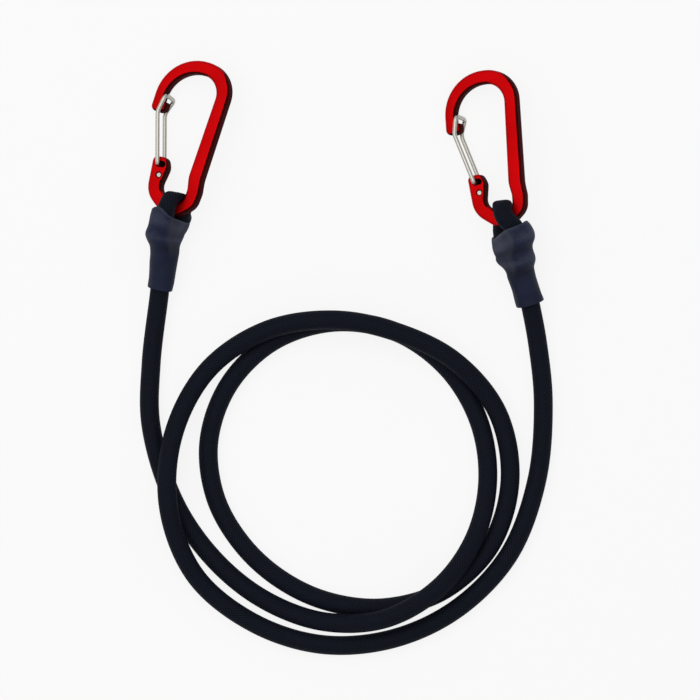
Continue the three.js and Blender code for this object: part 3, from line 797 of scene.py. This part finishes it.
def carabinerBody(side):
    name = side + "_carabiner"
    half, rounding, steps = plate["thickness"] / 2, plate["rounding"], plate["roundSteps"]
    holeRim = plate["holeRim"]
    circle, slot = (tidyLoop(hole, True) for hole in holeOutlines())
    outline = fineLoop(tidyLoop(bodyOutline(), False), plate["spacing"])
    rim = [(1 - math.cos(a), math.sin(a)) for a in (math.pi / 2 * step / steps for step in range(steps + 1))]
    upper = [(rounding * inset, half - rounding + rounding * rise) for inset, rise in rim]
    lower = [(inset, -level) for inset, level in upper[::-1]]
    sunkUpper = [(holeRim * inset, half - holeRim * (1 - rise)) for inset, rise in rim]
    sunkLower = [(inset, -level) for inset, level in sunkUpper[::-1]]
    form = bmesh.new()
    paintedShadeTag = form.faces.layers.float.new("wall")

    def addWall(loop, rows, shares):
        inward = [normal * share for normal, share in zip(inwardNormals(loop), shares)]
        rings = []
        for inset, level in rows:
            ring = [form.verts.new((*(point + way * inset), level)) for point, way in zip(loop, inward)]
            rings.append(ring)
        for low, high in zip(rings, rings[1:]):
            for index in range(len(loop)):
                after = (index + 1) % len(loop)
                form.faces.new((low[index], low[after], high[after], high[index]))
        return rings[0], rings[-1]

    def addCap(rings):
        flat = [vert for ring in rings for vert in ring]
        return [
            form.faces.new([flat[index] for index in corners])
            for corners in tessellate_polygon([[vert.co for vert in ring] for ring in rings])
        ]

    outer = addWall(outline, lower + upper, rimShares(outline, [circle, slot]))
    bore = addWall(circle, sunkLower + sunkUpper, [1.0] * len(circle))
    # a blind pocket instead of a through slot; its floor stands where the shadow down the slot would be, and
    # gets full painted shade below
    floor, mouth = addWall(slot, [(0, plate["pocketFloor"])] + sunkUpper, [1.0] * len(slot))
    addCap([outer[0], bore[0]])
    addCap([outer[1], bore[1], mouth])
    pocketFloor = addCap([floor])
    bmesh.ops.recalc_face_normals(form, faces=form.faces)
    for face in form.faces:
        face.smooth = True
        # painted shade: full on the pocket floor, and on the walls and bevels by their slope, more where they
        # face away from the light
        face[paintedShadeTag] = 1.0 if face in pocketFloor else paintedWallShade(face.normal)
    mesh = bpy.data.meshes.new(name)
    form.to_mesh(mesh)
    form.free()
    mesh.transform(Matrix.Scale(mm, 4) @ plateMatrix(side))
    mesh.materials.append(redAnodised)
    piece = bpy.data.objects.new(name, mesh)
    bpy.context.scene.collection.objects.link(piece)
    flatFaces = piece.modifiers.new("flatFaces", "WEIGHTED_NORMAL")
    flatFaces.weight = wallShade["faceWeight"]
    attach(piece, side + "_carabiner")
    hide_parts(side + "_carabiner_body")
    return piece


bodies = {side: carabinerBody(side) for side in ends}
print("carabiner bodies made")

# the soft eye gives way wherever the bar comes as it swings, and the strands stay inside the sheath
swingRoom = {
    "steps": 14, "sheath": 0.45, "strand": 0.95, "within": 16.0, "deepest": 2.0,
    "rayWay": (0.13, 0.21, 0.97), "rayStep": 1e-7,
}


def isInside(tree, point):
    # a ray from inside the bar meets its skin an odd number of times
    way, hits = Vector(swingRoom["rayWay"]).normalized(), 0
    found = tree.ray_cast(point, way)[0]
    while found is not None:
        hits += 1
        found = tree.ray_cast(found + way * swingRoom["rayStep"], way)[0]
    return hits % 2 == 1


def giveWay(piece, side, room):
    hinge = next(joint for joint in frame["joints"] if joint["name"] == side + "_swing")
    pivot = Matrix.Translation(Vector(hinge["pos_m"]))
    low, high = hinge["range_deg"]
    turns = []
    for step in range(swingRoom["steps"] + 1):
        angle = math.radians(low + (high - low) * step / swingRoom["steps"])
        turn = pivot @ Matrix.Rotation(angle, 4, Vector(hinge["axis"])) @ pivot.inverted()
        turns.append((turn, turn.inverted()))
    bar = bodies[side].data
    skin = [face.vertices for face in bar.polygons]
    tree = BVHTree.FromPolygons([vertex.co for vertex in bar.vertices], skin)
    heel = heels[side] * mm
    for vertex in piece.data.vertices:
        if (vertex.co - heel).length > swingRoom["within"] * mm:
            continue
        for turn, back in turns:
            point = back @ vertex.co
            nearest, _, _, away = tree.find_nearest(point)
            if away > swingRoom["deepest"] * mm:
                continue
            outward = (point - nearest).normalized()
            if isInside(tree, point):
                vertex.co = turn @ (nearest - outward * room * mm)
            elif away < room * mm:
                vertex.co = turn @ (nearest + outward * room * mm)


for side, eye in (("left", leftEye), ("right", rightEye)):
    giveWay(eye, side, swingRoom["sheath"])
    for thread in threads:
        giveWay(thread, side, swingRoom["strand"])
print("eyes fitted round the bars")


# wire gates
def bentLine(corners, steps):
    line = [corners[0][0]]
    for index in range(1, len(corners) - 1):
        point, radius = corners[index]
        back = (corners[index - 1][0] - point).normalized()
        ahead = (corners[index + 1][0] - point).normalized()
        setback = radius / math.tan(back.angle(ahead) / 2)
        start, end = point + back * setback, point + ahead * setback
        for step in range(steps + 1):
            t = step / steps
            line.append(start * (1 - t) ** 2 + point * 2 * t * (1 - t) + end * t * t)
    line.append(corners[-1][0])
    return line


def wireGate(side):
    # from the foot in the bore up the far leg, over the loop, and down the near leg into the pocket
    radius = gate["wire"] / 2
    level = plate["thickness"] / 2 + gate["gap"] + radius
    low, knee = lowerHole, Vector((noseInner, noseTip))
    upper = low + Vector((-math.sin(gateLean), math.cos(gateLean))) * gate["stagger"]
    bends = [
        (low, plate["thickness"] / 2 - gate["inset"], 0), (low, -level, gate["footBend"]),
        (knee, -level, gate["kneeBend"]), (loopBack, -level, gate["loopBend"]),
        (loopTop, level, gate["loopBend"]), (knee, level, gate["kneeBend"]),
        (upper, level, gate["footBend"]), (upper, plate["pocketFloor"] + gate["footRoom"], 0),
    ]
    corners = [(Vector((place.x, place.y, rise)), bend) for place, rise, bend in bends]
    matrix = plateMatrix(side)
    line = [matrix @ point for point in bentLine(corners, gate["bendSteps"])]
    piece = tubePiece(side + "_gate_wire", line, [1] * len(line), wireTube, radius, gate["sides"])
    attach(piece, side + "_gate")
    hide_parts(side + "_wire_gate")


for side in ends:
    wireGate(side)
print("wire gates made")

# shrink sleeves over the two legs of each eye: upper and lower are the rows of points that the two halves are
# centred on, and folds are place along the sleeve, rise and width
sleeve = {
    "sides": 72, "steps": 64, "innerStep": 2, "rowStep": 1.0, "tailBlend": 14.0, "lump": 0.38,
    "lumpScale": 0.16, "slantFrom": 0.55, "lean": 1.5, "flareEnd": 0.12, "halfBlend": 0.3, "foldShading": 2.2,
    "mouthLightShare": 0.5, "mouthLightFrom": 0.45, "mouthLightFull": 0.85, "rimFrom": 0.955, "lipFrom": 0.94, "lipFull": 0.97,
    "left": {
        "radius": 5.65, "endFlare": 0.0, "toTail": 1.0, "spineDip": 3.7, "gateDip": 4.0, "drift": -0.8,
        "upper": [(-82.8, -46.8), (-81.8, -36), (-81.5, -29.5), (-83.3, -23.6), (-81.9, -18)],
        "lower": [(-82.8, -46.8), (-80.6, -36), (-79.6, -30), (-78.4, -24.6), (-75.6, -18.6)],
        "folds": [(0.9, 0.15, 0.05), (0.78, -0.15, 0.04), (0.69, 0.2, 0.045), (0.57, -0.2, 0.05)],
    },
    "right": {
        "radius": 6.1, "endFlare": 0.25, "toTail": -1.0, "spineDip": 0.6, "gateDip": 0.6, "drift": 0.0,
        "upper": [(83.7, -53.4), (79.9, -40), (80, -35.6), (78.9, -31), (79.7, -25.4), (77.6, -20)],
        "lower": [(83.7, -53.4), (79.3, -41), (77.6, -36.4), (74.3, -32.4), (72.6, -26.4), (72.3, -21)],
        "folds": [(0.86, 0.25, 0.05), (0.75, -0.4, 0.035), (0.63, 0.3, 0.05), (0.5, -0.35, 0.05)],
    },
}


def heightAt(line, y):
    for low, high in zip(line, line[1:]):
        if low.y <= y <= high.y:
            return low.z + (high.z - low.z) * (y - low.y) / (high.y - low.y)
    return line[0].z if y < line[0].y else line[-1].z


def legAt(leg, start, axis, distance):
    along = [(point - start).dot(axis) for point in leg]
    index = next((i for i, reach in enumerate(along) if reach > distance), len(leg)) - 1
    index = min(max(index, 0), len(leg) - 2)
    share = (distance - along[index]) / (along[index + 1] - along[index])
    return leg[index].lerp(leg[index + 1], share)


def foldAt(side, share):
    return sum(rise * math.exp(-((share - at) / wide) ** 2) for at, rise, wide in sleeve[side]["folds"])


def sleeveForm(side):
    end, form = ends[side], sleeve[side]
    near, far = laid[side]["eye"][0], laid[side]["eye"][-1]
    standing = smoothLine(laid[side]["standing"] + [near], sleeve["rowStep"])
    tail = smoothLine(laid[side]["tail"] + [far], sleeve["rowStep"])
    start = standing[0]
    axis = ((near + far) / 2 - start).normalized()
    tip = tail[0]

    def onTail(y):
        if y >= tip.y:
            return heightAt(tail, y)
        share = smoothStep(y, tip.y - sleeve["tailBlend"], tip.y)
        return heightAt(standing, y) * (1 - share) + tip.z * share

    upperRow = [Vector((x, y, heightAt(standing, y))) for x, y in form["upper"]]
    upperRow.append(near + Vector((form["drift"], 0, 0)))
    lowerRow = [Vector((x, y, onTail(y))) for x, y in form["lower"]] + [far]
    upperRow, lowerRow = (smoothLine(row, sleeve["rowStep"]) for row in (upperRow, lowerRow))
    upper = (near - start).dot(axis) - end["upperLip"]
    lower = (far - start).dot(axis) - end["lowerLip"]
    aside = Vector((0, 0, 1)).cross(axis).normalized()
    aside *= math.copysign(1, aside.x * form["toTail"])

    def surfacePoint(share, angle, wall):
        slant = smoothStep(share, sleeve["slantFrom"], 1)
        dip = form["spineDip"] if math.sin(angle) > 0 else form["gateDip"]
        distance = share * lower - slant * math.sin(angle) ** 2 * dip
        onUpper = legAt(upperRow, start, axis, distance + slant * (upper - lower))
        onLower = legAt(lowerRow, start, axis, distance)
        apart = onLower - legAt(upperRow, start, axis, distance)
        apart -= axis * apart.dot(axis)
        sideways = (apart + aside * sleeve["lean"]).normalized()
        upright = sideways.cross(axis)
        radius = form["radius"] + form["endFlare"] * (1 - smoothStep(share, 0.0, sleeve["flareEnd"])) - wall
        radius += foldAt(side, share)
        outward = (sideways * math.cos(angle) + upright * math.sin(angle)) * radius
        toLower = smoothStep(math.cos(angle), -sleeve["halfBlend"], sleeve["halfBlend"])
        point = onUpper.lerp(onLower, toLower) + outward
        lump = noise.noise(point * sleeve["lumpScale"]) * sleeve["lump"]
        return point + outward.normalized() * lump

    return surfacePoint, (tip - start).dot(axis) / lower, lower


def sleeveLightAndShade(side, share, wall):
    # painted light: paler towards the mouth, on the rim and on the fold ridges, and painted shade in the fold
    # grooves
    rim = 1.0 if wall > 0 else smoothStep(share, sleeve["rimFrom"], 1.0)
    mouthLight = smoothStep(share, sleeve["mouthLightFrom"], sleeve["mouthLightFull"])
    lip = smoothStep(share, sleeve["lipFrom"], sleeve["lipFull"])
    lit = sleeve["mouthLightShare"] * mouthLight + (1 - sleeve["mouthLightShare"]) * rim * lip
    return lit + sleeve["foldShading"] * foldAt(side, share)


def loftPiece(name, side, surfacePoint, profile, material):
    sides, count = sleeve["sides"], len(profile)
    verts, faces, tones = [], [], []
    for share, wall in profile:
        for turn in range(sides):
            verts.append(tuple(surfacePoint(share, 2 * math.pi * turn / sides, wall) * mm))
            # painted light and shade for each point, kept in the "tone" attribute
            tones.append(sleeveLightAndShade(side, share, wall))
    for row in range(count):
        this, following = row * sides, (row + 1) % count * sides
        for turn in range(sides):
            after = (turn + 1) % sides
            faces.append((this + turn, this + after, following + after, following + turn))
    mesh = bpy.data.meshes.new(name)
    mesh.from_pydata(verts, [], faces)
    shell = bmesh.new()
    shell.from_mesh(mesh)
    bmesh.ops.recalc_face_normals(shell, faces=shell.faces)
    shell.to_mesh(mesh)
    shell.free()
    tone = mesh.attributes.new("tone", "FLOAT", "POINT")
    for index, value in enumerate(tones):
        tone.data[index].value = value
    for face in mesh.polygons:
        face.use_smooth = True
    mesh.materials.append(material)
    piece = bpy.data.objects.new(name, mesh)
    bpy.context.scene.collection.objects.link(piece)
    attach(piece, "cord")
    return piece


# crimp band, hidden under the sleeve
band = {"setback": 1.6, "length": 4.0, "wall": 0.5, "gap": 0.1, "steps": 6}


def sleeveAndCrimp(side):
    surfacePoint, tailShare, length = sleeveForm(side)
    steps, wall = sleeve["steps"], cord["sleeveWall"]
    profile = [(step / steps, 0.0) for step in range(steps + 1)]
    profile += [(step / steps, wall) for step in range(steps, -1, -sleeve["innerStep"])]
    piece = loftPiece(side + "_shrink_sleeve", side, surfacePoint, profile, charcoalShrink)
    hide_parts(side + "_sleeve")
    first = tailShare + band["setback"] / length
    shares = [first + band["length"] / length * step / band["steps"] for step in range(band["steps"] + 1)]
    outer = wall + band["gap"]
    profile = [(share, outer) for share in shares] + [(share, outer + band["wall"]) for share in shares[::-1]]
    crimp = loftPiece(side + "_crimp", side, surfacePoint, profile, bandSteel)
    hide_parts(side + "_crimp_band")


for side in ends:
    sleeveAndCrimp(side)
print("sleeves made")

# table and light
studio = {
    "table": 3.0, "tableColour": 0.9, "glow": 1.0, "glowShare": 0.86, "zenith": 0.86, "horizon": 0.1,
    "keyPower": 9.0, "keySize": 1.6, "keyAt": (-0.5, 0.4, 1.5), "keyAim": (0, -0.07, 0),
}


def bareTree(owner, outputKind):
    owner.use_nodes = True
    tree = owner.node_tree
    tree.nodes.clear()
    return tree, tree.nodes.new(outputKind).inputs["Surface"]


def seenRays(tree):
    # 1 for what the camera sees, also in metal and through glass
    rays = tree.nodes.new("ShaderNodeLightPath").outputs
    seen = mathNode(tree, "MAXIMUM", rays["Is Camera Ray"], rays["Is Glossy Ray"])
    return mathNode(tree, "MAXIMUM", seen, rays["Is Transmission Ray"])


half = studio["table"]
corners = [(-half, -half, 0), (half, -half, 0), (half, half, 0), (-half, half, 0)]
tableMesh = bpy.data.meshes.new("table")
tableMesh.from_pydata(corners, [], [(0, 1, 2, 3)])
table = bpy.data.objects.new("table", tableMesh)
bpy.context.scene.collection.objects.link(table)
tableWhite = bpy.data.materials.new("tableWhite")
tree, surface = bareTree(tableWhite, "ShaderNodeOutputMaterial")
matte = tree.nodes.new("ShaderNodeBsdfDiffuse")
matte.inputs["Color"].default_value = (studio["tableColour"],) * 3 + (1,)
glow = tree.nodes.new("ShaderNodeEmission")
glow.inputs["Strength"].default_value = studio["glow"]
blend = tree.nodes.new("ShaderNodeMixShader")
tree.links.new(mathNode(tree, "MULTIPLY", seenRays(tree), studio["glowShare"]), blend.inputs["Fac"])
tree.links.new(matte.outputs[0], blend.inputs[1])
tree.links.new(glow.outputs[0], blend.inputs[2])
tree.links.new(blend.outputs[0], surface)
tableMesh.materials.append(tableWhite)

world = bpy.data.worlds.new("studio")
bpy.context.scene.world = world
tree, surface = bareTree(world, "ShaderNodeOutputWorld")
sky = tree.nodes.new("ShaderNodeBackground")
height = tree.nodes.new("ShaderNodeSeparateXYZ")
tree.links.new(tree.nodes.new("ShaderNodeTexCoord").outputs["Generated"], height.inputs[0])
ceiling = valueRamp(tree, height.outputs["Z"], studio["horizon"], studio["zenith"])
ceiling.node.interpolation_type = "SMOOTHSTEP"
tree.links.new(mathNode(tree, "MAXIMUM", ceiling, seenRays(tree)), sky.inputs["Strength"])
tree.links.new(sky.outputs[0], surface)

keyData = bpy.data.lights.new("softKey", "AREA")
keyData.shape = "DISK"
keyData.size = studio["keySize"]
keyData.energy = studio["keyPower"]
softKey = bpy.data.objects.new("softKey", keyData)
softKey.location = studio["keyAt"]
keyWay = Vector(studio["keyAim"]) - Vector(studio["keyAt"])
softKey.rotation_euler = keyWay.to_track_quat("-Z", "Y").to_euler()
bpy.context.scene.collection.objects.link(softKey)
bpy.context.scene.view_settings.view_transform = "Standard"
print("table and light set")
